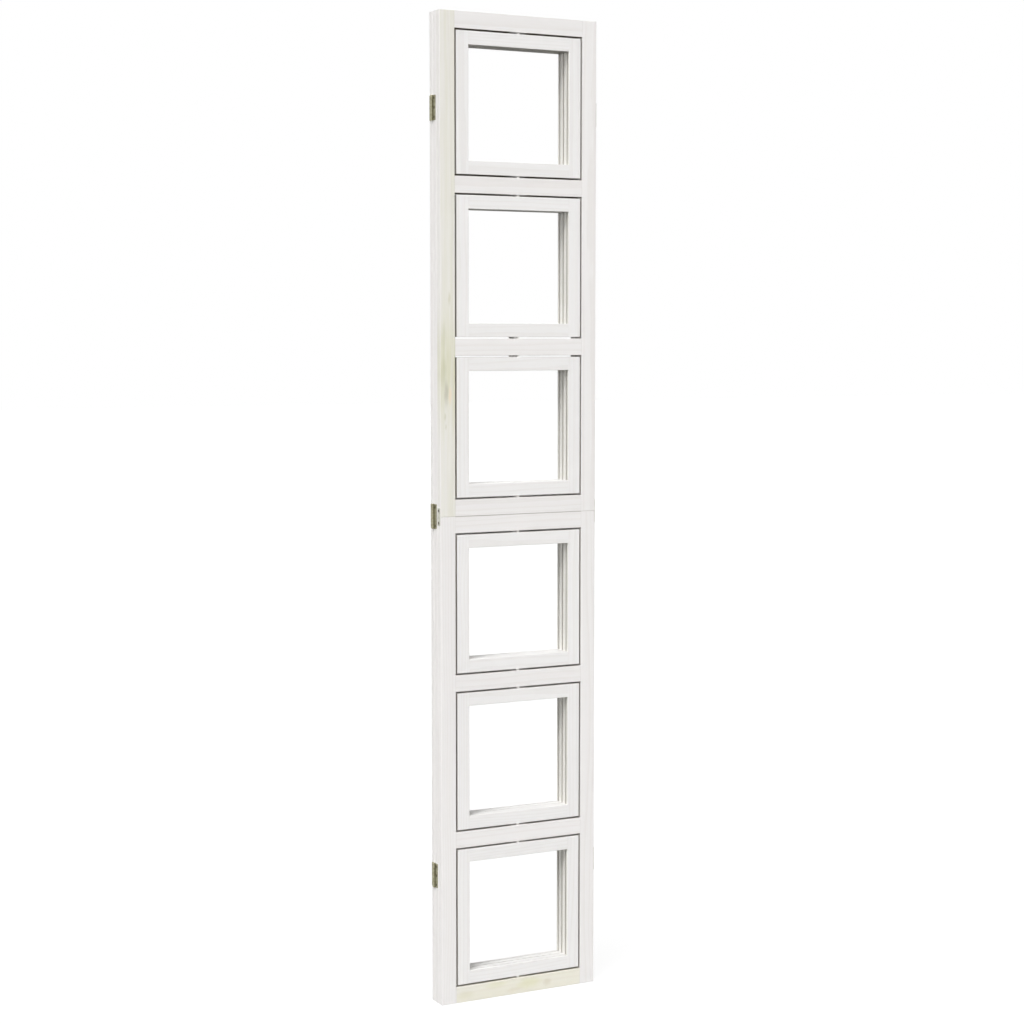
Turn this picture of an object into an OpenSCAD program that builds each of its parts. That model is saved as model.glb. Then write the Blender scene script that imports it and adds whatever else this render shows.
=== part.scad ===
// Folding room divider of three narrow panels, folded flat into one stack.
// Each panel is two half-height wooden frames, one on the other, and holds a column of
// square picture frames that turn between the rails on round pivot pins.
// X runs along a panel, Y from the front panel to the rear one, Z up. Millimetres.
// The origin is on the floor, in the middle of the folded stack.

/* [Picture frames] */
// Outer width and height of a square picture frame
frame_size = 239; // [150:1:400]
// Picture frames in each half of a panel, one above the other
frames_per_half = 3; // [1:1:3]
// Width of a picture frame's stiles and rails
member_w = 23; // [19:1:40]
// How far a picture frame's faces lie below the panel's faces
frame_inset = 0; // [0:0.25:2]
// Width of the groove that holds the picture
groove_w = 3; // [2:0.5:5]
// Depth of that groove, and the length that a rail's tongue may take in it
groove_d = 5; // [3:0.5:7]
// Play round a rail's tongue in the groove
tongue_play = 0.1; // [0.05:0.05:0.3]

/* [Panels] */
// Thickness of a panel
panel_t = 12.5; // [11:0.5:22]
// Width of a panel's stiles
stile_w = 28; // [24:1:60]
// Height of a panel's rails
rail_h = 28.7; // [26:0.1:60]
// Gap all round a picture frame in its window
frame_gap = 3; // [1:0.5:6]
// Gap between two panels when the screen is folded
fold_gap = 1; // [1:0.5:6]
// Gap between the upper and the lower half of a panel
seam_gap = 0.4; // [0.1:0.1:1]
// Glue line between a rail's end and a stile
glue_line = 0.1; // [0.05:0.05:0.2]
// Chamfer on the outer long edges of the panel stiles
corner_ease = 0.8; // [0.8:0.1:2]
// Chamfer on all other edges of the panels' and the picture frames' faces
edge_ease = 0.5; // [0.2:0.1:1]

/* [Pivot pins] */
// Diameter of the pin at the top and at the bottom of each picture frame
pin_d = 6; // [4:0.5:7]
// Length of a pin inside the rail, and inside the picture frame
pin_bite = 10; // [6:1:11]
// Play round a pin in the picture frame, where it turns
pivot_play = 0.1; // [0.05:0.05:0.3]

/* [Dowels] */
// Diameter of the glued dowels
dowel_d = 6; // [4:0.5:7]
// Length of a dowel inside a rail
dowel_bite = 15; // [8:1:20]
// Distance between the two dowels at a rail's end
dowel_pitch = 14; // [9:1:17]
// Wood between a dowel hole and the tip of a screw from the stile's outer edge
screw_room = 1; // [0.5:0.5:3]
// Distance of the dowels that join the two halves from the stiles
joint_dowel_inset = 60; // [30:1:66]
// Length of such a dowel inside each half
joint_dowel_bite = 20; // [10:1:22]
// Chamfer at the ends of dowels and pins
dowel_tip = 0.8; // [0.3:0.1:1.5]
// Play round pins and dowels that stay put
seat_play = 0.05; // [0.02:0.01:0.1]
// Room between the end of a pin, dowel or screw and the bottom of its hole
hole_room = 0.5; // [0.3:0.1:1]

/* [Hinges] */
// Height of a hinge
hinge_h = 42; // [38:1:70]
// Thickness of a hinge leaf
leaf_t = 1; // [0.6:0.1:1.4]
// Bare edge of the panel beside a hinge leaf
leaf_margin = 1.75; // [0.5:0.25:2]
// Radius of a leaf's outer corners
leaf_corner = 1.5; // [0.5:0.5:3]
// Outer diameter of the knuckles
knuckle_d = 4.5; // [4:0.5:7]
// Knuckles of one hinge, both leaves together
knuckles = 5; // [3:2:5]
// Gap between two knuckles, and between a knuckle and the other leaf
knuckle_gap = 0.3; // [0.2:0.1:0.5]
// Diameter of the hinge pin
hinge_pin_d = 2.2; // [1.6:0.1:2.6]
// Play round the hinge pin
hinge_play = 0.05; // [0.02:0.01:0.1]
// Height of the lowest hinge's middle over the floor
low_hinge_z = 225; // [60:1:250]
// Distance of the highest hinge's middle from the top
high_hinge_drop = 160; // [60:1:250]

/* [Screws and mending plates] */
// Length of the wood screws
screw_len = 12; // [8:1:16]
// Diameter of a screw's countersunk head
screw_head_d = 5.2; // [4.5:0.1:5.6]
// Diameter of a screw's shank
screw_d = 2.6; // [2:0.1:3]
// Depth of the cross recess in a screw's head
recess_depth = 0.6; // [0.3:0.1:0.8]
// Distance of a hinge leaf's outer screws from the leaf's ends
leaf_screw_inset = 5; // [4:0.5:7]
// Height of a mending plate
plate_h = 30; // [26:1:50]
// Width of a mending plate
plate_w = 10; // [7:0.5:11]
// Thickness of a mending plate
plate_t = 0.8; // [0.6:0.1:1.4]
// Radius of a mending plate's corners
plate_corner = 1; // [0.5:0.5:3]
// Distance of a mending plate's screws from its ends
plate_screw_inset = 4.5; // [4:0.5:8]

/* [Hidden] */
$fn = 48;
FRONT = 0;
MIDDLE = 1;
REAR = 2;
PANELS = ["front", "middle", "rear"];
LOWER = 0;
UPPER = 1;
HALVES = ["lower", "upper"];
LEFT = -1;
RIGHT = 1;

frame_t = panel_t - 2 * frame_inset;
window = frame_size + 2 * frame_gap;
panel_w = window + 2 * stile_w;
bay = rail_h + window;                              // from one rail to the next
half_h = frames_per_half * bay + rail_h;
panel_h = 2 * half_h + seam_gap;
panel_pitch = panel_t + fold_gap;                   // from one folded panel to the next
frame_count = 2 * frames_per_half;
opening = frame_size - 2 * member_w;
stile_bite = stile_w - screw_len - screw_room;      // length of a rail dowel inside a stile

knuckle_r = knuckle_d / 2;
leaf_w = fold_gap / 2 + panel_t - leaf_margin;      // from the hinge's axis to the leaf's edge
plate_start = knuckle_r + knuckle_gap;              // from the axis to the leaf's flat part
leaf_screw_y = (plate_start + leaf_w) / 2;
leaf_screw_pitch = hinge_h / 2 - leaf_screw_inset;  // from a leaf's middle to its outer screws
plate_screw_pitch = plate_h - 2 * plate_screw_inset;
screw_cone = (screw_head_d - screw_d) / 2;          // height of a 90 degree countersink
over = 1;                                           // how far a cutter stands clear of what it leaves
hinge_x = panel_w / 2 + knuckle_r;                  // the leaves' backs lie on the stile's edge
hinge_y = panel_pitch / 2;
hinge_heights = [low_hinge_z, panel_h / 2, panel_h - high_hinge_drop];
MIDDLE_HINGE = 1;

NODES = concat(
    [for (p = PANELS) for (h = HALVES) for (part = ["left_stile", "right_stile", "rails"])
        str(p, "_", h, "_", part)],
    [for (p = PANELS) for (n = [1:frame_count]) str(p, "_picture_frame_", n)],
    [for (p = PANELS) for (part = ["pivot_pins", "rail_dowels", "joint_dowels"])
        str(p, "_", part)],
    [for (p = ["front", "middle_right", "middle_left", "rear"])
        for (part = ["hinge_leaves", "hinge_screws"]) str(p, "_", part)],
    ["right_hinge_pins", "left_hinge_pins"],
    [for (p = ["front", "rear"]) for (part = ["mending_plate", "plate_screws"])
        str(p, "_", part)]
);
node = "all";

// ---- places ----

function panel_y(p) = (p - MIDDLE) * panel_pitch;
function half_z(h) = h == UPPER ? half_h + seam_gap : 0;
// The floor of window k of a half, counted from its lowest
function window_z(h, k) = half_z(h) + rail_h + k * bay;
// Picture frame n of a panel, counted from the top
function frame_z(n) = let (k = frame_count - n)
    window_z(floor(k / frames_per_half), k % frames_per_half) + frame_gap;
// The middle hinge spans the seam, so it has no screw there
function leaf_screws(hinge) = hinge == MIDDLE_HINGE ? [-leaf_screw_pitch, leaf_screw_pitch]
    : [-leaf_screw_pitch, 0, leaf_screw_pitch];
// Front and rear panels hang on one side each, the middle panel on both
function hinged(p, side) = p == MIDDLE || (p == FRONT && side == RIGHT)
    || (p == REAR && side == LEFT);
// From a panel's middle to the screws of its hinge leaf on that side
function leaf_screw_offset(p, side) = let (axis_y = -side * hinge_y - panel_y(p))
    axis_y - sign(axis_y) * leaf_screw_y;

// ---- shapes ----

// Lays an outline that is drawn for an upright bar along X, its low side down
module lay_along_x(l) {
    rotate([90, 0, 90]) rotate([0, 0, 90]) linear_extrude(l) children();
}

// Outline of a bar w wide and t thick, with a groove along the middle of its high side
function grooved_outline(w, t, gw, gd) = [
    [0, -t / 2], [w, -t / 2], [w, -gw / 2], [w - gd, -gw / 2],
    [w - gd, gw / 2], [w, gw / 2], [w, t / 2], [0, t / 2]
];

// Keeps a w by t block but for its corners, cut off by a
function corner_cutter(w, t, a) = let (x = w / 2 + over, y = t / 2 + over, c = a + 2 * over) [
    [c - x, -y], [x - c, -y], [x, c - y], [x, y - c],
    [x - c, y], [c - x, y], [-x, y - c], [-x, c - y]
];

// Cuts the front and back edges of an opening w wide in a board t thick back by a
function flare_cutter(w, t, a) = let (wide = w / 2 + a + over, narrow = w / 2 - over,
                                      face = t / 2 + over, depth = t / 2 - a - over) [
    [-wide, -face], [wide, -face], [narrow, -depth], [narrow, depth],
    [wide, face], [-wide, face], [-narrow, depth], [-narrow, -depth]
];

// Eases the outer edges of a frame's members after its glue-up: the frame is w wide, h high and
// t thick, stands on z = 0, and loses a at its upright corners and b at its level ones
module ease_outside(w, h, t, a, b) {
    intersection() {
        children();
        translate([0, 0, -over]) linear_extrude(h + 2 * over) polygon(corner_cutter(w, t, a));
        translate([-w / 2 - over, 0, h / 2]) lay_along_x(w + 2 * over)
            polygon(corner_cutter(h, t, b));
    }
}

// The edges that an opening w wide and h high loses, with mitred corners
module opening_edges(w, h, t) {
    reach = edge_ease + 2 * over;
    intersection() {
        translate([0, 0, -reach]) linear_extrude(h + 2 * reach)
            polygon(flare_cutter(w, t, edge_ease));
        translate([-w / 2 - reach, 0, h / 2]) lay_along_x(w + 2 * reach)
            polygon(flare_cutter(h, t, edge_ease));
    }
}

// A round stick with chamfered ends, standing on z = 0
module stick(d, l) {
    rotate_extrude() polygon([
        [0, 0], [d / 2 - dowel_tip, 0], [d / 2, dowel_tip],
        [d / 2, l - dowel_tip], [d / 2 - dowel_tip, l], [0, l]
    ]);
}

// A blind hole that opens downwards at z = 0 and runs up
module blind_hole(d, depth) {
    translate([0, 0, -hole_room]) cylinder(d = d, h = depth + hole_room);
}

// A thin plate on the YZ plane from y0 to y1, h high, its corners rounded by r.
// A plate with one_side keeps its low-y corners square.
module rounded_plate(y0, y1, h, r, t, one_side) {
    rotate([90, 0, 90]) linear_extrude(t) union() {
        translate([one_side ? y0 : y0 + r, -h / 2]) square([y1 - r - (one_side ? y0 : y0 + r), h]);
        translate([y0, r - h / 2]) square([y1 - y0, h - 2 * r]);
        for (z = [r - h / 2, h / 2 - r]) {
            translate([y1 - r, z]) circle(r);
            if (!one_side) translate([y0 + r, z]) circle(r);
        }
    }
}

// The countersunk hole of a screw that points to -X, with its head's face on x = 0
module screw_hole() {
    rotate([0, -90, 0]) rotate_extrude() polygon([
        [0, -seat_play], [screw_head_d / 2 + 2 * seat_play, -seat_play],
        [screw_d / 2 + seat_play, screw_cone], [screw_d / 2 + seat_play, screw_len + hole_room],
        [0, screw_len + hole_room]
    ]);
}

// A countersunk wood screw that points to -X, with its head's face on x = 0
module wood_screw() {
    tip = screw_d;
    rotate([0, -90, 0]) difference() {
        rotate_extrude() polygon([
            [0, 0], [screw_head_d / 2, 0], [screw_d / 2, screw_cone],
            [screw_d / 2, screw_len - tip], [0, screw_len]
        ]);
        for (a = [0, 90]) rotate([0, 0, a]) translate([-screw_d / 2, -screw_d / 8, -1])
            cube([screw_d, screw_d / 4, 1 + recess_depth]);
    }
}

// ---- the panels' own wood ----

module at_panel(p) { translate([0, panel_y(p), 0]) children(); }

// A panel's two stiles are mirror images: this places one that is drawn with its outer edge on x = 0
module at_side(side) {
    translate([side * panel_w / 2, 0, 0]) mirror([side == RIGHT ? 1 : 0, 0, 0]) children();
}

// The places of the dowels that join the rails of half h to a stile
module at_rail_dowels(h) {
    for (k = [0:frames_per_half], d = [-1, 1])
        translate([stile_w, 0, half_z(h) + k * bay + rail_h / 2 + d * dowel_pitch / 2]) children();
}

// The places of the screws in a panel's outer edge: a hinge's or a mending plate's
module at_edge_screws(p, side) {
    if (hinged(p, side)) {
        for (i = [0:2], dz = leaf_screws(i))
            translate([0, leaf_screw_offset(p, side), hinge_heights[i] + dz]) children();
    } else {
        for (dz = [-1, 1])
            translate([0, 0, panel_h / 2 + dz * plate_screw_pitch / 2]) children();
    }
}

// Eases the members of a half-height frame, all round it and round its windows
module ease_half(h) {
    translate([0, 0, half_z(h)]) difference() {
        ease_outside(panel_w, half_h, panel_t, corner_ease, edge_ease) children();
        for (k = [0:frames_per_half - 1]) translate([0, 0, rail_h + k * bay])
            opening_edges(window, window, panel_t);
    }
}

module stile(p, h, side) {
    color([0.91, 0.91, 0.89]) at_panel(p) difference() {
        ease_half(h) at_side(side) translate([0, -panel_t / 2, 0])
            cube([stile_w, panel_t, half_h]);
        at_side(side) {
            at_rail_dowels(h) rotate([0, -90, 0])
                blind_hole(dowel_d + 2 * seat_play, stile_bite + hole_room);
            at_edge_screws(p, side) translate([hinged(p, side) ? -leaf_t : -plate_t, 0, 0])
                mirror([1, 0, 0]) screw_hole();
        }
    }
}

module rails(p, h) {
    rail_l = window - 2 * glue_line;
    color([0.93, 0.93, 0.91]) at_panel(p) difference() {
        ease_half(h) for (k = [0:frames_per_half]) translate([-rail_l / 2, -panel_t / 2, k * bay])
            cube([rail_l, panel_t, rail_h]);
        for (side = [LEFT, RIGHT]) at_side(side) at_rail_dowels(h) rotate([0, 90, 0])
            blind_hole(dowel_d + 2 * seat_play, dowel_bite + hole_room);
        for (k = [0:frames_per_half - 1]) translate([0, 0, window_z(h, k)]) {
            rotate([180, 0, 0]) blind_hole(pin_d + 2 * seat_play, pin_bite + hole_room);
            translate([0, 0, window]) blind_hole(pin_d + 2 * seat_play, pin_bite + hole_room);
        }
        at_joint_dowels() translate([0, 0, h == UPPER ? seam_gap / 2 : -seam_gap / 2])
            rotate([h == UPPER ? 0 : 180, 0, 0])
                blind_hole(dowel_d + 2 * seat_play, joint_dowel_bite + hole_room);
    }
}

module rail_dowels(p) {
    color("burlywood") at_panel(p)
        for (h = [LOWER, UPPER], side = [LEFT, RIGHT]) at_side(side) at_rail_dowels(h)
            translate([-stile_bite, 0, 0]) rotate([0, 90, 0])
                stick(dowel_d, stile_bite + dowel_bite);
}

// The places, on the seam, of the dowels that join a panel's two halves
module at_joint_dowels() {
    for (side = [LEFT, RIGHT])
        translate([side * (window / 2 - joint_dowel_inset), 0, panel_h / 2]) children();
}

module joint_dowels(p) {
    reach = joint_dowel_bite + seam_gap / 2;
    color("burlywood") at_panel(p) at_joint_dowels()
        translate([0, 0, -reach]) stick(dowel_d, 2 * reach);
}

// ---- picture frames and their pivots ----

// Eases the members of a picture frame, all round it and round its opening
module ease_frame() {
    difference() {
        ease_outside(frame_size, frame_size, frame_t, edge_ease, edge_ease) children();
        translate([0, 0, member_w]) opening_edges(opening, opening, frame_t);
    }
}

// Four grooved members: two stiles at full height, two rails that tongue into their grooves
module picture_frame(p, n) {
    rail_l = opening - 2 * glue_line;
    tongue_l = groove_d - tongue_play;
    color([0.95, 0.95, 0.93]) at_panel(p) translate([0, 0, frame_z(n)]) {
        for (side = [LEFT, RIGHT]) ease_frame() translate([side * frame_size / 2, 0, 0])
            mirror([side == RIGHT ? 1 : 0, 0, 0]) linear_extrude(frame_size)
                polygon(grooved_outline(member_w, frame_t, groove_w, groove_d));
        for (end = [0, 1]) difference() {
            ease_frame() translate([0, 0, end * frame_size]) mirror([0, 0, end]) union() {
                translate([-rail_l / 2, 0, 0]) lay_along_x(rail_l)
                    polygon(grooved_outline(member_w, frame_t, groove_w, groove_d));
                translate([-opening / 2 - tongue_l, tongue_play - groove_w / 2, edge_ease])
                    cube([opening + 2 * tongue_l, groove_w - 2 * tongue_play,
                        member_w - groove_d - edge_ease]);
            }
            translate([0, 0, end * frame_size]) mirror([0, 0, end])
                blind_hole(pin_d + 2 * pivot_play, pin_bite + hole_room);
        }
    }
}

module pivot_pins(p) {
    color("wheat") at_panel(p) for (n = [1:frame_count], end = [0, 1])
        translate([0, 0, frame_z(n) + end * (frame_size + frame_gap) - frame_gap - pin_bite])
            stick(pin_d, frame_gap + 2 * pin_bite);
}

// ---- hinges ----

// The three hinge axes on one side of the middle panel. On the left they stand turned
// by half a turn, so both sides are drawn as the right one.
module at_hinges(side) {
    rotate([0, 0, side == LEFT ? 180 : 0])
        for (i = [0:2]) translate([hinge_x, -hinge_y, hinge_heights[i]]) {
            $hinge = i;
            children();
        }
}

// One leaf, lying from the axis towards +Y, with every second knuckle from the first one given
module hinge_leaf(first) {
    pitch = hinge_h / knuckles;
    difference() {
        union() {
            translate([-knuckle_r, 0, 0])
                rounded_plate(plate_start, leaf_w, hinge_h, leaf_corner, leaf_t, true);
            for (i = [first:2:knuckles - 1]) {
                low = i == 0 ? 0 : knuckle_gap / 2;
                high = i == knuckles - 1 ? 0 : knuckle_gap / 2;
                translate([0, 0, i * pitch - hinge_h / 2 + low])
                    linear_extrude(pitch - low - high) union() {
                        circle(knuckle_r);
                        translate([-knuckle_r, 0]) square([leaf_t, plate_start + leaf_t]);
                    }
            }
        }
        cylinder(d = hinge_pin_d + 2 * hinge_play, h = 2 * hinge_h, center = true);
        for (dz = leaf_screws($hinge))
            translate([leaf_t - knuckle_r, leaf_screw_y, dz]) screw_hole();
    }
}

// The middle panel carries the leaves with the outer knuckles
module inner_leaves(side) { color("darkkhaki") at_hinges(side) hinge_leaf(0); }
module outer_leaves(side) {
    color("darkkhaki") at_hinges(side) mirror([0, 1, 0]) hinge_leaf(1);
}

// A pin as long as the hinge, with a thin peened head on each end
module hinge_pins(side) {
    head_h = 0.4;
    color("darkgoldenrod") at_hinges(side) rotate_extrude() polygon([
        [0, -hinge_h / 2 - head_h], [knuckle_r - head_h, -hinge_h / 2 - head_h],
        [knuckle_r - head_h / 2, -hinge_h / 2], [hinge_pin_d / 2, -hinge_h / 2],
        [hinge_pin_d / 2, hinge_h / 2], [knuckle_r - head_h / 2, hinge_h / 2],
        [knuckle_r - head_h, hinge_h / 2 + head_h], [0, hinge_h / 2 + head_h]
    ]);
}

// Screws of the leaves on the middle panel (towards = 1) or on its neighbour (towards = -1)
module hinge_screws(side, towards) {
    color("dimgray") at_hinges(side) for (dz = leaf_screws($hinge))
        translate([leaf_t - knuckle_r, towards * leaf_screw_y, dz]) wood_screw();
}

// ---- mending plates on the free edges ----

// Draws what is drawn on the edge of the rear panel on its free side. The front panel's
// free side is the left one, half a turn away.
module at_free_edge(p) {
    rotate([0, 0, p == FRONT ? 180 : 0])
        translate([panel_w / 2, panel_pitch, panel_h / 2]) children();
}

module mending_plate(p) {
    color("silver") at_free_edge(p) difference() {
        rounded_plate(-plate_w / 2, plate_w / 2, plate_h, plate_corner, plate_t, false);
        for (d = [-1, 1]) translate([plate_t, 0, d * plate_screw_pitch / 2]) screw_hole();
    }
}

module plate_screws(p) {
    color("dimgray") at_free_edge(p) for (d = [-1, 1])
        translate([plate_t, 0, d * plate_screw_pitch / 2]) wood_screw();
}

// ---- the nodes ----

function shown(name) = node == "all" || node == name;

for (p = [FRONT, MIDDLE, REAR]) {
    for (h = [LOWER, UPPER]) {
        if (shown(str(PANELS[p], "_", HALVES[h], "_left_stile"))) stile(p, h, LEFT);
        if (shown(str(PANELS[p], "_", HALVES[h], "_right_stile"))) stile(p, h, RIGHT);
        if (shown(str(PANELS[p], "_", HALVES[h], "_rails"))) rails(p, h);
    }
    for (n = [1:frame_count])
        if (shown(str(PANELS[p], "_picture_frame_", n))) picture_frame(p, n);
    if (shown(str(PANELS[p], "_pivot_pins"))) pivot_pins(p);
    if (shown(str(PANELS[p], "_rail_dowels"))) rail_dowels(p);
    if (shown(str(PANELS[p], "_joint_dowels"))) joint_dowels(p);
}
if (shown("front_hinge_leaves")) outer_leaves(RIGHT);
if (shown("front_hinge_screws")) hinge_screws(RIGHT, -1);
if (shown("middle_right_hinge_leaves")) inner_leaves(RIGHT);
if (shown("middle_right_hinge_screws")) hinge_screws(RIGHT, 1);
if (shown("right_hinge_pins")) hinge_pins(RIGHT);
if (shown("middle_left_hinge_leaves")) inner_leaves(LEFT);
if (shown("middle_left_hinge_screws")) hinge_screws(LEFT, 1);
if (shown("left_hinge_pins")) hinge_pins(LEFT);
if (shown("rear_hinge_leaves")) outer_leaves(LEFT);
if (shown("rear_hinge_screws")) hinge_screws(LEFT, -1);
if (shown("front_mending_plate")) mending_plate(FRONT);
if (shown("front_plate_screws")) plate_screws(FRONT);
if (shown("rear_mending_plate")) mending_plate(REAR);
if (shown("rear_plate_screws")) plate_screws(REAR);
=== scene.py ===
import math

import bpy
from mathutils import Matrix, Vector


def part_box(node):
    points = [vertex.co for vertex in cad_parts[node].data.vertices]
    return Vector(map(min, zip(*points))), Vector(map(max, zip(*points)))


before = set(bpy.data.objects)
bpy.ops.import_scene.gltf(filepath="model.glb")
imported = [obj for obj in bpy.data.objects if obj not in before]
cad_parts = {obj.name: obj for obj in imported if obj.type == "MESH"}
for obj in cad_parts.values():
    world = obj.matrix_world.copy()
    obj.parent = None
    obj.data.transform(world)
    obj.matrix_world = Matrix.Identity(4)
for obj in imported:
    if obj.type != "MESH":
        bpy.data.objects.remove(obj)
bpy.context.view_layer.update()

bpy.ops.object.select_all(action="DESELECT")


# Stiles: twelve uprights of pale wood, four to a panel, planed square with their long arrises eased. They
# are brushed with a thin white wash that lets the grain through; their inner edges, along the gaps, carry
# dark bare wood that is partly painted shade. The front panel's upper left one has olive stains and a knot.
PANELS = ("front", "middle", "rear")
HALVES = ("lower", "upper")
WINDOW = 0.245
PANEL_WASH = (0.850, 0.832, 0.826)
PALE_WOOD, LATE_WOOD = (0.560, 0.505, 0.330), (0.395, 0.300, 0.180)
# dark bare wood, far darker than the wood under the wash: partly painted shade, laid in the grooves and gaps
BARE_SHADE_WOOD, BARE_SHADE_LATE = (0.270, 0.230, 0.180), (0.190, 0.155, 0.115)
OLIVE = (0.500, 0.500, 0.160)
# what sets one board apart from another: a shift of its grain, and two draws for its pith
SEED_SHIFT, ASIDE_DRAW, BEHIND_DRAW = (1.37, 0.71, 0.53), 7.31, 3.77
# growth rings: their width, how far they drift and ripple, and where the pith lies beside and behind a board
RING, DRIFT, RIPPLE = 0.0042, 0.05, 0.0022
PITH_ASIDE, PITH_NEAR, PITH_RANGE = 0.07, 0.022, 0.05
LATE_FROM, LATE_FULL, LATE_DONE = 0.45, 0.93, 0.95
# marks for each metre along, across and into a board
DRIFT_GRAIN, RIPPLE_GRAIN, TONE_GRAIN = (1.6, 5, 5), (9, 70, 70), (1.4, 16, 16)
FIBRE_GRAIN, PORE_GRAIN = (55, 1500, 1500), (120, 2300, 2300)
BRUSH_GRAIN, CLOUD_GRAIN = (5, 330, 330), (5, 140, 140)
# how much wood shows through the wash: everywhere, then more in late wood, fibres, brush marks and pores
THIN_ALL, THIN_LATE, THIN_FIBRE, THIN_BRUSH, THIN_PORE = 0.02, 0.055, 0.02, 0.025, 0.04
# late wood in the wash, then late wood and fibres in the dark bare wood, which is partly painted shade
LATE_SHARE, BARE_SHADE_LATE_SHARE, BARE_SHADE_FIBRE_SHARE = 0.75, 0.8, 0.35
SEEP_LOW, SEEP_HIGH = 0.62, 1.38
TONE_LOW, TONE_HIGH = 0.985, 1.01
RELIEF_FIBRE, RELIEF_LATE, RELIEF_PORE = 0.6, 0.5, 0.8
BUMP_STRENGTH, BUMP_DEPTH = 0.25, 0.00006
WASH_SMOOTH, WASH_ROUGH, WASH_SPECULAR = 0.56, 0.72, 0.35
# how far round an edge a face's marks reach, and how much dark bare wood, partly painted shade, lies on a
# stile's inner edge
FACE_MARGIN, STILE_BARE_SHADE = 0.0002, 0.32


def add(tree, kind, **settings):
    made = tree.nodes.new(kind)
    for name, value in settings.items():
        setattr(made, name, value)
    return made


def feed(tree, socket, value):
    """Links a socket to another, or sets it to a number or colour."""
    if isinstance(value, bpy.types.NodeSocket):
        tree.links.new(value, socket)
    elif isinstance(value, (tuple, list)) and len(value) == 3 and socket.type == "RGBA":
        socket.default_value = (*value, 1)
    else:
        socket.default_value = value


def calc(tree, operation, *terms, clamp=False):
    made = add(tree, "ShaderNodeMath", operation=operation, use_clamp=clamp)
    for socket, term in zip(made.inputs, terms):
        feed(tree, socket, term)
    return made.outputs[0]


def plus(tree, a, b):
    return calc(tree, "ADD", a, b)


def minus(tree, a, b):
    return calc(tree, "SUBTRACT", a, b)


def times(tree, a, b):
    return calc(tree, "MULTIPLY", a, b)


def size_of(tree, a):
    return calc(tree, "ABSOLUTE", a)


def apart(tree, a, b):
    return size_of(tree, minus(tree, a, b))


def larger(tree, a, b):
    return calc(tree, "MAXIMUM", a, b)


def above(tree, a, b):
    """1 where a is more than b, otherwise 0."""
    return calc(tree, "GREATER_THAN", a, b)


def below(tree, a, b):
    """1 where a is less than b, otherwise 0."""
    return calc(tree, "LESS_THAN", a, b)


def reach(tree, a, b):
    """How far a point is from the middle, from its distances on two axes."""
    return calc(tree, "SQRT", plus(tree, times(tree, a, a), times(tree, b, b)))


def vector(tree, operation, *terms):
    made = add(tree, "ShaderNodeVectorMath", operation=operation)
    for socket, term in zip(made.inputs, terms):
        feed(tree, socket, term)
    return made.outputs[0]


def join(tree, x, y, z):
    made = add(tree, "ShaderNodeCombineXYZ")
    for socket, term in zip(made.inputs, (x, y, z)):
        feed(tree, socket, term)
    return made.outputs[0]


def split(tree, value):
    made = add(tree, "ShaderNodeSeparateXYZ")
    feed(tree, made.inputs[0], value)
    return made.outputs


def noise(tree, at, scale, detail=2.0, rough=0.5):
    """Noise from 0 to 1, with its own scale along each axis."""
    made = add(tree, "ShaderNodeTexNoise", noise_dimensions="3D")
    feed(tree, made.inputs["Vector"], vector(tree, "MULTIPLY", at, scale))
    made.inputs["Scale"].default_value = 1.0
    made.inputs["Detail"].default_value = detail
    made.inputs["Roughness"].default_value = rough
    return made.outputs["Fac"]


def ramp(tree, value, low, high, to_low=0.0, to_high=1.0):
    """Runs smoothly from to_low to to_high while value goes from low to high."""
    made = add(tree, "ShaderNodeMapRange", interpolation_type="SMOOTHSTEP")
    for socket, term in zip(made.inputs, (value, low, high, to_low, to_high)):
        feed(tree, socket, term)
    return made.outputs[0]


def mix(tree, share, a, b, kind="RGBA", blend="MIX"):
    """From a to b as share goes from 0 to 1."""
    first, result = {"FLOAT": (2, 0), "VECTOR": (4, 1), "RGBA": (6, 2)}[kind]
    made = add(tree, "ShaderNodeMix", data_type=kind, blend_type=blend)
    feed(tree, made.inputs[0], share)
    feed(tree, made.inputs[first], a)
    feed(tree, made.inputs[first + 1], b)
    return made.outputs[result]


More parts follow.
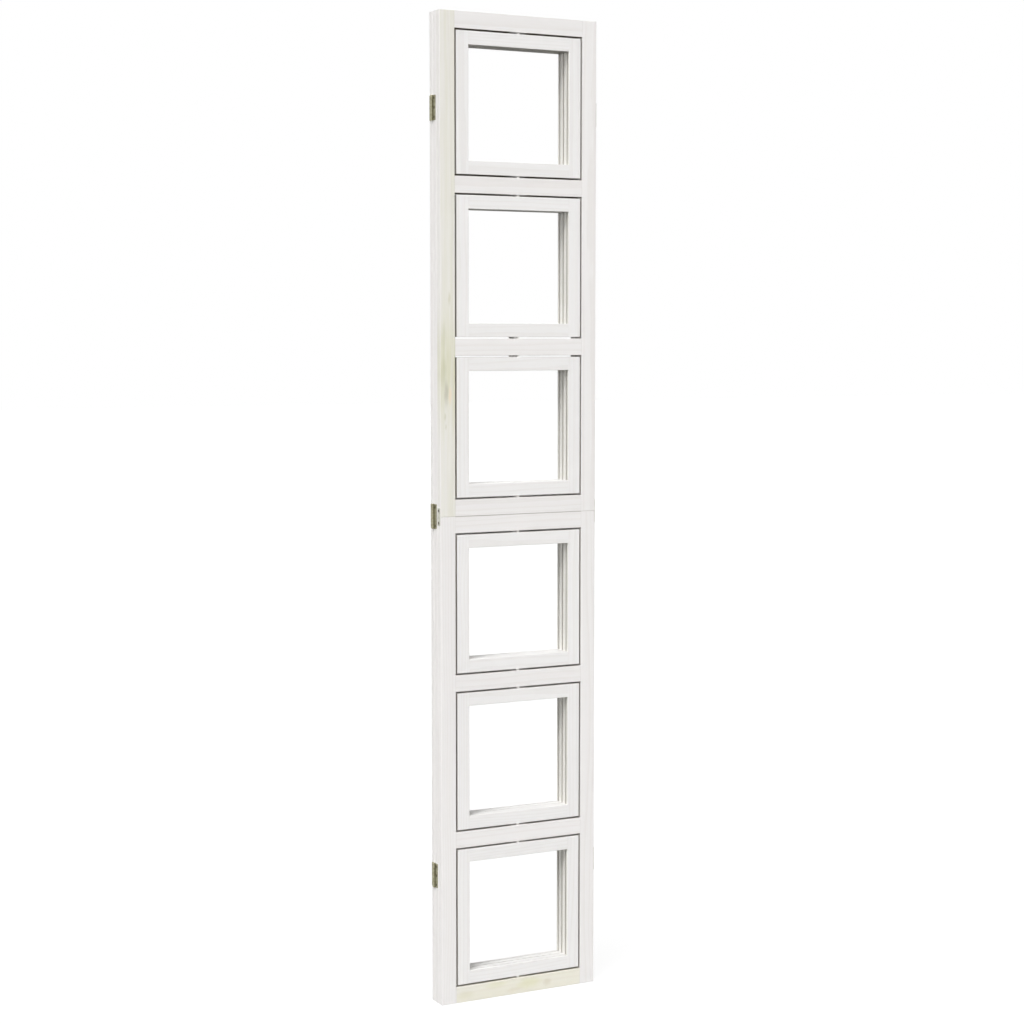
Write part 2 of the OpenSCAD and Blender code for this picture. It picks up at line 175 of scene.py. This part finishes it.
def make_washed_wood():
    """The wood under its wash. Grain runs along the first axis of At; Seed sets each board apart."""
    tree = bpy.data.node_groups.new("washed_wood", "ShaderNodeTree")
    for name, kind in (("At", "Vector"), ("Seed", "Float"), ("Wash", "Color"),
                       ("Tint", "Float"), ("Raw", "Float")):
        tree.interface.new_socket(name, in_out="INPUT", socket_type="NodeSocket" + kind)
    for name, kind in (("Colour", "Color"), ("Roughness", "Float"), ("Normal", "Vector")):
        tree.interface.new_socket(name, in_out="OUTPUT", socket_type="NodeSocket" + kind)
    came = add(tree, "NodeGroupInput").outputs
    at, seed, wash, tint, bare_and_shade = (came[i] for i in range(5))

    def draw(factor):
        """A number from 0 to 1 that differs from board to board."""
        return calc(tree, "FRACT", times(tree, seed, factor))

    def waver(grain, width):
        return times(tree, minus(tree, noise(tree, here, grain, 2), 0.5), width)

    here = vector(tree, "ADD", at, join(tree, *(times(tree, seed, step) for step in SEED_SHIFT)))
    _, across, deep = split(tree, at)
    # growth rings, seen as lines: circles round a pith behind the board, drifting along its length
    aside = times(tree, minus(tree, draw(ASIDE_DRAW), 0.5), PITH_ASIDE)
    behind = plus(tree, PITH_NEAR, times(tree, PITH_RANGE, draw(BEHIND_DRAW)))
    from_pith = reach(tree, plus(tree, plus(tree, across, aside), waver(DRIFT_GRAIN, DRIFT)),
                      plus(tree, deep, behind))
    year = calc(tree, "DIVIDE", plus(tree, from_pith, waver(RIPPLE_GRAIN, RIPPLE)), RING)
    year = calc(tree, "FRACT", year)
    late = times(tree, ramp(tree, year, LATE_FROM, LATE_FULL), ramp(tree, year, 1.0, LATE_DONE))
    # long fibres and short pores
    fibre = noise(tree, here, FIBRE_GRAIN, 3, 0.6)
    pore = ramp(tree, noise(tree, here, PORE_GRAIN, 1), 0.66, 0.74)
    # the wash: brushed along the board, and stained olive where the wood's own juices came through
    brush = ramp(tree, noise(tree, here, BRUSH_GRAIN, 3, 0.6), 0.4, 0.75)
    cloud = noise(tree, here, CLOUD_GRAIN, 3, 0.6)
    thin = THIN_ALL
    for mark, share in ((late, THIN_LATE), (ramp(tree, fibre, 0.35, 0.7), THIN_FIBRE),
                        (brush, THIN_BRUSH), (pore, THIN_PORE)):
        thin = calc(tree, "ADD", thin, times(tree, mark, share), clamp=True)
    timber = mix(tree, times(tree, late, LATE_SHARE), PALE_WOOD, LATE_WOOD)
    seep = calc(tree, "MULTIPLY", tint, ramp(tree, cloud, 0.3, 0.7, SEEP_LOW, SEEP_HIGH), clamp=True)
    washed = mix(tree, seep, mix(tree, thin, wash, timber), OLIVE)
    tone = ramp(tree, noise(tree, here, TONE_GRAIN, 2), 0.25, 0.75, TONE_LOW, TONE_HIGH)
    coat = mix(tree, 1.0, washed, join(tree, tone, tone, tone), blend="MULTIPLY")
    # dark bare wood, partly painted shade, in the grooves and on the edges that face one another across the
    # gaps
    shaded_bare = mix(tree, times(tree, late, BARE_SHADE_LATE_SHARE), BARE_SHADE_WOOD, BARE_SHADE_LATE)
    shaded_bare = mix(tree, ramp(tree, fibre, 0.3, 0.8, 0.0, BARE_SHADE_FIBRE_SHARE), shaded_bare, BARE_SHADE_LATE)
    height = plus(tree, times(tree, fibre, RELIEF_FIBRE), times(tree, late, RELIEF_LATE))
    bump = add(tree, "ShaderNodeBump")
    bump.inputs["Strength"].default_value = BUMP_STRENGTH
    bump.inputs["Distance"].default_value = BUMP_DEPTH
    feed(tree, bump.inputs["Height"], minus(tree, height, times(tree, pore, RELIEF_PORE)))
    out = add(tree, "NodeGroupOutput").inputs
    feed(tree, out["Colour"], mix(tree, bare_and_shade, coat, shaded_bare))
    feed(tree, out["Roughness"], ramp(tree, fibre, 0.2, 0.8, WASH_SMOOTH, WASH_ROUGH))
    feed(tree, out["Normal"], bump.outputs[0])
    return tree


washed_wood = make_washed_wood()


def new_material(name):
    made = bpy.data.materials.new(name)
    made.use_nodes = True
    tree = made.node_tree
    tree.nodes.clear()
    shader = add(tree, "ShaderNodeBsdfPrincipled")
    out = add(tree, "ShaderNodeOutputMaterial")
    tree.links.new(shader.outputs[0], out.inputs[0])
    return made, tree, shader


def place_of(tree):
    return add(tree, "ShaderNodeTexCoord").outputs["Object"]


RAG_GRAIN, RAGGED = (1.3, 1.3, 1.0), 0.9
STAIN_EDGE, STAIN_FULL = 1.45, 0.65


def blotch(tree, x, z, middle, half):
    """1 in the middle of an oval on the front face, falling to 0 along a ragged edge."""
    across = calc(tree, "DIVIDE", minus(tree, x, middle[0]), half[0])
    up = calc(tree, "DIVIDE", minus(tree, z, middle[1]), half[1])
    ragged = times(tree, noise(tree, join(tree, across, up, 0.0), RAG_GRAIN, 4, 0.6), RAGGED)
    return ramp(tree, plus(tree, reach(tree, across, up), ragged), STAIN_EDGE, STAIN_FULL)


def washed_board(name, wash, seed, lay, bare_and_shade, tint=None, stains=()):
    """A washed board. lay gives the place on the board and what to add to the seed, the bare-wood function
    how much dark bare wood lies on it, partly as painted shade, and tint how far it is stained all over. A
    stain is a middle, two half sizes, a colour and a strength."""
    made, tree, shader = new_material(name)
    x, y, z = split(tree, place_of(tree))
    at, more = lay(tree, x, y, z)
    wood = add(tree, "ShaderNodeGroup", node_tree=washed_wood)
    feed(tree, wood.inputs["At"], at)
    feed(tree, wood.inputs["Seed"], plus(tree, seed, more))
    feed(tree, wood.inputs["Wash"], wash)
    feed(tree, wood.inputs["Tint"], tint(tree, x, y, z) if tint else 0.0)
    feed(tree, wood.inputs["Raw"], bare_and_shade(tree, x, y, z))
    colour = wood.outputs["Colour"]
    for middle, half, stain, strength in stains:
        colour = mix(tree, times(tree, blotch(tree, x, z, middle, half), strength), colour, stain)
    feed(tree, shader.inputs["Base Color"], colour)
    feed(tree, shader.inputs["Roughness"], wood.outputs["Roughness"])
    feed(tree, shader.inputs["Normal"], wood.outputs["Normal"])
    shader.inputs["Specular IOR Level"].default_value = WASH_SPECULAR
    return made


def finish_node(name, material):
    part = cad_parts[name]
    part.data.materials.clear()
    part.data.materials.append(material)


def middle_of(name):
    low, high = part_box(name)
    return (low + high) / 2


def stile_lay(centre):
    def lay(tree, x, y, z):
        return join(tree, z, minus(tree, x, centre.x), minus(tree, y, centre.y)), 0.0
    return lay


# dark bare wood on the stiles' inner edges along the gaps, partly real and partly painted shade
def stile_bare_and_shade(tree, x, y, z):
    return times(tree, below(tree, size_of(tree, x), WINDOW / 2 + FACE_MARGIN), STILE_BARE_SHADE)


EDGE_TINT, FACE_TINT, HAND_TINT = 0.04, 0.155, 0.20
EDGE_X, FACE_X = -0.1501, -0.1492
HAND_Z, HAND_LENGTH = 1.09, 0.14


def stile_tint(tree, x, y, z):
    """Strong on the face, weak on the outer edge, and deeper for a hand's length above the middle."""
    return plus(tree, ramp(tree, x, EDGE_X, FACE_X, EDGE_TINT, FACE_TINT),
                ramp(tree, apart(tree, z, HAND_Z), HAND_LENGTH, 0.0, 0.0, HAND_TINT))


STILE_STAINS = (
    ((-0.1435, 1.155), (0.0060, 0.035), (0.45, 0.45, 0.24), 0.20),
    ((-0.1440, 1.095), (0.0075, 0.040), (0.45, 0.45, 0.24), 0.30),
    ((-0.1330, 1.220), (0.0035, 0.016), (0.46, 0.44, 0.20), 0.28),
    ((-0.1392, 1.060), (0.0058, 0.028), (0.38, 0.36, 0.25), 0.45),
    ((-0.1320, 1.056), (0.0046, 0.021), (0.83, 0.70, 0.53), 0.65),
    ((-0.1415, 1.020), (0.0030, 0.010), (0.44, 0.43, 0.21), 0.30),
    ((-0.1400, 1.003), (0.0022, 0.007), (0.44, 0.43, 0.21), 0.28),
)
for p, panel in enumerate(PANELS):
    for h, half in enumerate(HALVES):
        for s, side in enumerate(("left", "right")):
            name = f"{panel}_{half}_{side}_stile"
            stained = name == "front_upper_left_stile"
            finish_node(name, washed_board(name, PANEL_WASH, 1.1 + 2.3 * p + 0.9 * h + 0.37 * s,
                                           stile_lay(middle_of(name)), stile_bare_and_shade,
                                           stile_tint if stained else None, STILE_STAINS if stained else ()))


# Rails: four in each half-height frame, of the same wood, doweled and glued between the stiles. Their edges
# along the gaps carry dark bare wood as partly painted shade, darkest underneath, with painted light beside
# each pin. The front panel's lowest has yellow-green stains.
RAIL_H, BAY, HALF_H = 0.0287, 0.2737, 0.8498
# dark bare wood on the edges along the gaps, partly painted shade: full on the undersides, weaker on the
# tops
UNDER_BARE_SHADE, OVER_BARE_SHADE = 1.0, 0.30
# how far the painted light beside a pin reaches, and how far it fades out
PIN_ZONE, PIN_FADE = 0.012, 1.6
SEAM_Z, SEAM_NEAR, SEAM_FAR, RAW_SEAM = 0.85, 0.0004, 0.0009, 0.45
LOW_RAIL_TINT = 0.08
NEXT_RAIL_SEED = 0.83


def rail_place(tree, z, low_z):
    """Which rail of a half this is, counted from its lowest, and the height above that rail's middle."""
    up = minus(tree, z, low_z + RAIL_H / 2)
    step = calc(tree, "ROUND", calc(tree, "DIVIDE", up, BAY))
    return step, minus(tree, up, times(tree, step, BAY))


def rail_lay(centre_y, low_z):
    def lay(tree, x, y, z):
        step, up = rail_place(tree, z, low_z)
        return join(tree, x, up, minus(tree, y, centre_y)), times(tree, step, NEXT_RAIL_SEED)
    return lay


def beside_pin(tree, x):
    """0 round a pin, where the gaps' painted shade is left out as painted light, and 1 away from it."""
    return ramp(tree, size_of(tree, x), PIN_ZONE, PIN_FADE * PIN_ZONE)


def beside_seam(tree, z):
    """The two rails that meet at half height have lost some of their wash along the seam."""
    return ramp(tree, apart(tree, z, SEAM_Z), SEAM_NEAR, SEAM_FAR, RAW_SEAM, 0.0)


def rail_bare_and_shade(low_z):
    def bare_and_shade(tree, x, y, z):
        _, up = rail_place(tree, z, low_z)
        # painted shade of dark bare wood: full under each rail, weaker on top, left out beside the pins
        over = times(tree, above(tree, up, RAIL_H / 2 - FACE_MARGIN), OVER_BARE_SHADE)
        under = times(tree, below(tree, up, FACE_MARGIN - RAIL_H / 2), UNDER_BARE_SHADE)
        edge = times(tree, plus(tree, over, under), beside_pin(tree, x))
        within = below(tree, apart(tree, z, low_z + HALF_H / 2), HALF_H / 2 - RAIL_H / 2)
        return plus(tree, times(tree, edge, within), beside_seam(tree, z))
    return bare_and_shade


def low_rail_tint(tree, x, y, z):
    return times(tree, below(tree, z, RAIL_H), LOW_RAIL_TINT)


RAIL_STAINS = (
    ((0.0000, 0.010), (0.300, 0.080), (0.84, 0.80, 0.53), 0.28),
    ((0.0200, 0.016), (0.034, 0.013), (0.62, 0.63, 0.22), 0.26),
    ((-0.0450, 0.022), (0.030, 0.008), (0.60, 0.60, 0.22), 0.18),
    ((0.0560, 0.013), (0.012, 0.009), (0.45, 0.36, 0.19), 0.22),
    ((-0.0100, 0.008), (0.022, 0.007), (0.52, 0.40, 0.24), 0.16),
    ((-0.1050, 0.012), (0.022, 0.011), (0.55, 0.52, 0.24), 0.15),
)
for p, panel in enumerate(PANELS):
    for h, half in enumerate(HALVES):
        name = f"{panel}_{half}_rails"
        low_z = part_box(name)[0].z
        stained = name == "front_lower_rails"
        finish_node(name, washed_board(name, PANEL_WASH, 9.4 + 3.1 * p + 1.3 * h,
                                       rail_lay(middle_of(name).y, low_z), rail_bare_and_shade(low_z),
                                       low_rail_tint if stained else None, RAIL_STAINS if stained else ()))


# Picture frames: eighteen open squares, each of two uprights and two cross members, grooved on the inside
# for the picture, tongued together and glued. Their wash is a touch whiter than the panels' and a little
# yellow round the opening; the grooves, but for the sill's, and the outer edges carry dark bare wood as
# partly painted shade, darkest underneath.
FRAME_SIZE, MEMBER_W, OPENING = 0.239, 0.023, 0.193
GROOVE_W, GROOVE_D, GROOVE_PLAY = 0.003, 0.005, 0.0001
# how much dark bare wood lies in the grooves, round the opening and on the outer sides; in the grooves and
# on the outer sides it is partly painted shade
GROOVE_BARE_SHADE, RAW_INNER, SIDE_BARE_SHADE = 0.55, 0.09, 0.62
INNER_TINT = 0.12
PICTURE_WASH = (0.856, 0.846, 0.842)
CROSS_SEED, TOP_SEED, UPRIGHT_SEED, RIGHT_SEED = 0.31, 0.47, 1.13, 0.59


def picture_lay(centre):
    def lay(tree, x, y, z):
        up = minus(tree, z, centre.z)
        deep = minus(tree, y, centre.y)
        upright = above(tree, size_of(tree, x), OPENING / 2)
        mid = (OPENING + MEMBER_W) / 2
        standing = join(tree, up, minus(tree, size_of(tree, x), mid), deep)
        lying = join(tree, x, minus(tree, size_of(tree, up), mid), deep)
        cross_seed = plus(tree, CROSS_SEED, times(tree, above(tree, up, 0.0), TOP_SEED))
        upright_seed = plus(tree, UPRIGHT_SEED, times(tree, above(tree, x, 0.0), RIGHT_SEED))
        return (mix(tree, upright, lying, standing, kind="VECTOR"),
                mix(tree, upright, cross_seed, upright_seed, kind="FLOAT"))
    return lay


def round_opening(tree, x, up):
    """How far out a point is on the square, and 1 on the opening's edges but for its sill."""
    out = larger(tree, size_of(tree, x), size_of(tree, up))
    inner = times(tree, below(tree, out, OPENING / 2 + FACE_MARGIN), above(tree, up, FACE_MARGIN - OPENING / 2))
    return out, inner


def picture_bare_and_shade(centre):
    def bare_and_shade(tree, x, y, z):
        up = minus(tree, z, centre.z)
        out, inner = round_opening(tree, x, up)
        # painted shade in the grooves, left out in the sill's groove, which faces up to the light
        groove = times(tree, below(tree, apart(tree, y, centre.y), GROOVE_W / 2 + GROOVE_PLAY),
                       below(tree, out, OPENING / 2 + GROOVE_D + GROOVE_PLAY))
        groove = times(tree, groove, above(tree, up, -OPENING / 2))
        # painted shade of dark bare wood on the outer edges: full underneath, less at the sides and least on
        # top
        edge = FRAME_SIZE / 2 - FACE_MARGIN
        side = times(tree, above(tree, size_of(tree, x), edge), SIDE_BARE_SHADE)
        over = times(tree, above(tree, up, edge), OVER_BARE_SHADE)
        under = times(tree, below(tree, up, -edge), UNDER_BARE_SHADE)
        outside = larger(tree, side, times(tree, larger(tree, over, under), beside_pin(tree, x)))
        inside = larger(tree, times(tree, groove, GROOVE_BARE_SHADE), times(tree, inner, RAW_INNER))
        return larger(tree, inside, outside)
    return bare_and_shade


def picture_tint(centre):
    def tint(tree, x, y, z):
        _, inner = round_opening(tree, x, minus(tree, z, centre.z))
        return times(tree, inner, INNER_TINT)
    return tint


for p, panel in enumerate(PANELS):
    for n in range(1, 7):
        name = f"{panel}_picture_frame_{n}"
        centre = middle_of(name)
        finish_node(name, washed_board(name, PICTURE_WASH, 17.0 + 2.7 * p + 1.9 * n,
                                       picture_lay(centre), picture_bare_and_shade(centre), picture_tint(centre)))


# Pivot pins and dowels: turned wood. The pins, washed white, sit in bores of the rails and the picture
# frames and cross the gaps between them. The dowels, left plain, are glued into the panels' joints.
PIN_WHITE, PIN_GRAIN = (0.95, 0.94, 0.92), (0.90, 0.88, 0.84)
DOWEL_PALE, DOWEL_GRAIN = (0.72, 0.60, 0.43), (0.55, 0.42, 0.27)
TURNED_GRAIN, TURNED_SMOOTH, TURNED_ROUGH = (30, 900, 900), 0.5, 0.65


def turned_wood(name, colour, dark):
    made, tree, shader = new_material(name)
    x, y, z = split(tree, place_of(tree))
    grain = noise(tree, join(tree, z, x, y), TURNED_GRAIN, 3, 0.6)
    feed(tree, shader.inputs["Base Color"], mix(tree, ramp(tree, grain, 0.4, 0.75), colour, dark))
    feed(tree, shader.inputs["Roughness"], ramp(tree, grain, 0.2, 0.8, TURNED_SMOOTH, TURNED_ROUGH))
    return made


pin_wood = turned_wood("pin_wood", PIN_WHITE, PIN_GRAIN)
dowel_wood = turned_wood("dowel_wood", DOWEL_PALE, DOWEL_GRAIN)
for panel in PANELS:
    finish_node(f"{panel}_pivot_pins", pin_wood)
    finish_node(f"{panel}_rail_dowels", dowel_wood)
    finish_node(f"{panel}_joint_dowels", dowel_wood)


# Butt hinges: brass-plated steel that has gone brown, five knuckles on a pin with peened heads, three
# hinges to a side. Each leaf is held to its stile's outer edge by countersunk screws, darker than the leaf.
HINGE_BRASS, HINGE_BROWN = (0.410, 0.396, 0.280), (0.262, 0.250, 0.165)
PIN_BRASS, PIN_BROWN = (0.46, 0.44, 0.31), (0.30, 0.285, 0.19)
SCREW_BRASS, SCREW_BROWN = (0.165, 0.150, 0.105), (0.095, 0.086, 0.060)
TARNISH_EDGE, TARNISH_FULL, TARNISH_ROUGH = 0.35, 0.7, 0.15


def metal(name, colour, tarnish, rough, patch):
    """Metal with rougher patches of tarnish. patch is how many of them there are in a metre."""
    made, tree, shader = new_material(name)
    stain = ramp(tree, noise(tree, place_of(tree), (patch, patch, patch), 4, 0.6),
                 TARNISH_EDGE, TARNISH_FULL)
    feed(tree, shader.inputs["Base Color"], mix(tree, stain, colour, tarnish))
    feed(tree, shader.inputs["Roughness"], plus(tree, rough, times(tree, stain, TARNISH_ROUGH)))
    shader.inputs["Metallic"].default_value = 1.0
    return made


hinge_brass = metal("hinge_brass", HINGE_BRASS, HINGE_BROWN, rough=0.36, patch=260)
pin_brass = metal("pin_brass", PIN_BRASS, PIN_BROWN, rough=0.30, patch=260)
screw_brass = metal("screw_brass", SCREW_BRASS, SCREW_BROWN, rough=0.38, patch=500)
for name in ("front_hinge", "middle_right_hinge", "middle_left_hinge", "rear_hinge"):
    finish_node(f"{name}_leaves", hinge_brass)
    finish_node(f"{name}_screws", screw_brass)
for side in ("right", "left"):
    finish_node(f"{side}_hinge_pins", pin_brass)


# Mending plates: zinc-plated steel strips over the seam between the halves, one on the free edge of the
# front panel and one on that of the rear panel, each held by two dark countersunk screws.
ZINC, ZINC_DULL = (0.62, 0.61, 0.545), (0.50, 0.49, 0.43)
PLATE_SCREW, PLATE_SCREW_DULL = (0.115, 0.105, 0.085), (0.065, 0.060, 0.045)
zinc = metal("zinc_plate", ZINC, ZINC_DULL, rough=0.38, patch=300)
plate_screw = metal("plate_screw", PLATE_SCREW, PLATE_SCREW_DULL, rough=0.38, patch=500)
for panel in ("front", "rear"):
    finish_node(f"{panel}_mending_plate", zinc)
    finish_node(f"{panel}_plate_screws", plate_screw)


# The studio: a wide white floor that keeps the screen's shadow, and a surround that is brightest low down
# and in front. Both are plain white to look at, also in a reflection. A soft key light comes from high up
# in front on the left, and a weak one from low down behind on the right.
FLOOR_SIZE, FLOOR_GLOW = 60, 0.93
FLOOR_SEEN, FLOOR_DIM = (0.13, 0.13, 0.13), (0.085, 0.085, 0.080)
SKY_LEVEL, SKY_TO_REAR, SKY_UPWARD = 1.56, -0.70, -3.2
BAND_LEVEL, BAND_TO_REAR, BAND_HEIGHT = 5.0, -1.4, 0.12
WHITE = (1, 1, 1)


def looked_at(tree):
    """1 for what the camera sees, also in a mirror or through glass, and 0 for what lights the screen."""
    seen = add(tree, "ShaderNodeLightPath").outputs
    by_way_of = larger(tree, seen["Is Glossy Ray"], seen["Is Transmission Ray"])
    return larger(tree, seen["Is Camera Ray"], by_way_of)


def coloured(tree, kind, colour):
    made = add(tree, kind)
    feed(tree, made.inputs["Color"], colour)
    return made


def either(tree, share, first, second, output):
    """The first shader where share is 0, the second where it is 1, into the tree's output."""
    pick = add(tree, "ShaderNodeMixShader")
    for socket, value in zip(pick.inputs, (share, first.outputs[0], second.outputs[0])):
        feed(tree, socket, value)
    tree.links.new(pick.outputs[0], add(tree, output).inputs[0])


def make_floor():
    bpy.ops.mesh.primitive_plane_add(size=FLOOR_SIZE, location=(0, 0, 0))
    floor = bpy.context.object
    floor.name = "floor"
    made = bpy.data.materials.new("floor")
    made.use_nodes = True
    tree = made.node_tree
    tree.nodes.clear()
    white = add(tree, "ShaderNodeAddShader")
    glow = add(tree, "ShaderNodeEmission")
    glow.inputs["Strength"].default_value = FLOOR_GLOW
    tree.links.new(glow.outputs[0], white.inputs[0])
    tree.links.new(coloured(tree, "ShaderNodeBsdfDiffuse", FLOOR_SEEN).outputs[0], white.inputs[1])
    dim = coloured(tree, "ShaderNodeBsdfDiffuse", FLOOR_DIM)
    either(tree, looked_at(tree), dim, white, "ShaderNodeOutputMaterial")
    floor.data.materials.append(made)


def make_surround():
    world = bpy.data.worlds.new("studio")
    bpy.context.scene.world = world
    world.use_nodes = True
    tree = world.node_tree
    tree.nodes.clear()
    _, y, z = split(tree, add(tree, "ShaderNodeTexCoord").outputs["Generated"])
    sky = plus(tree, plus(tree, SKY_LEVEL, times(tree, y, SKY_TO_REAR)), times(tree, z, SKY_UPWARD))
    low = larger(tree, 0.0, minus(tree, 1.0, calc(tree, "DIVIDE", z, BAND_HEIGHT)))
    band = times(tree, low, plus(tree, BAND_LEVEL, times(tree, y, BAND_TO_REAR)))
    light = coloured(tree, "ShaderNodeBackground", WHITE)
    level = plus(tree, larger(tree, 0.0, sky), band)
    feed(tree, light.inputs["Strength"], times(tree, level, above(tree, z, 0.0)))
    white = coloured(tree, "ShaderNodeBackground", WHITE)
    either(tree, looked_at(tree), light, white, "ShaderNodeOutputWorld")


def make_sun(name, towards, level, spread):
    """A distant soft light. level is what a white surface square to it renders at; spread is in degrees."""
    data = bpy.data.lights.new(name, "SUN")
    data.energy = level * math.pi
    data.angle = math.radians(spread)
    lamp = bpy.data.objects.new(name, data)
    bpy.context.scene.collection.objects.link(lamp)
    lamp.rotation_euler = Vector(towards).to_track_quat("Z", "Y").to_euler()


make_floor()
make_surround()
make_sun("key", towards=(-0.50, -0.33, 0.80), level=0.92, spread=30)
make_sun("back", towards=(0.55, 0.83, 0.10), level=0.45, spread=60)


# The camera stands 3.6 m away, a little to the left, at two thirds of the screen's height, and looks
# slightly down. Angles are in degrees.
CAMERA_PLACE = (-1.6585, -3.2123, 1.1543)
CAMERA_DOWN, CAMERA_TURN = 4.782, 27.252
SENSOR, LENS = 36.0, 73.25


def make_camera():
    data = bpy.data.cameras.new("camera")
    data.sensor_width = SENSOR
    data.lens = LENS
    camera = bpy.data.objects.new("camera", data)
    bpy.context.scene.collection.objects.link(camera)
    camera.location = CAMERA_PLACE
    camera.rotation_euler = (math.radians(90 - CAMERA_DOWN), 0, math.radians(-CAMERA_TURN))
    bpy.context.scene.camera = camera


make_camera()
bpy.context.scene.view_settings.view_transform = "Standard"
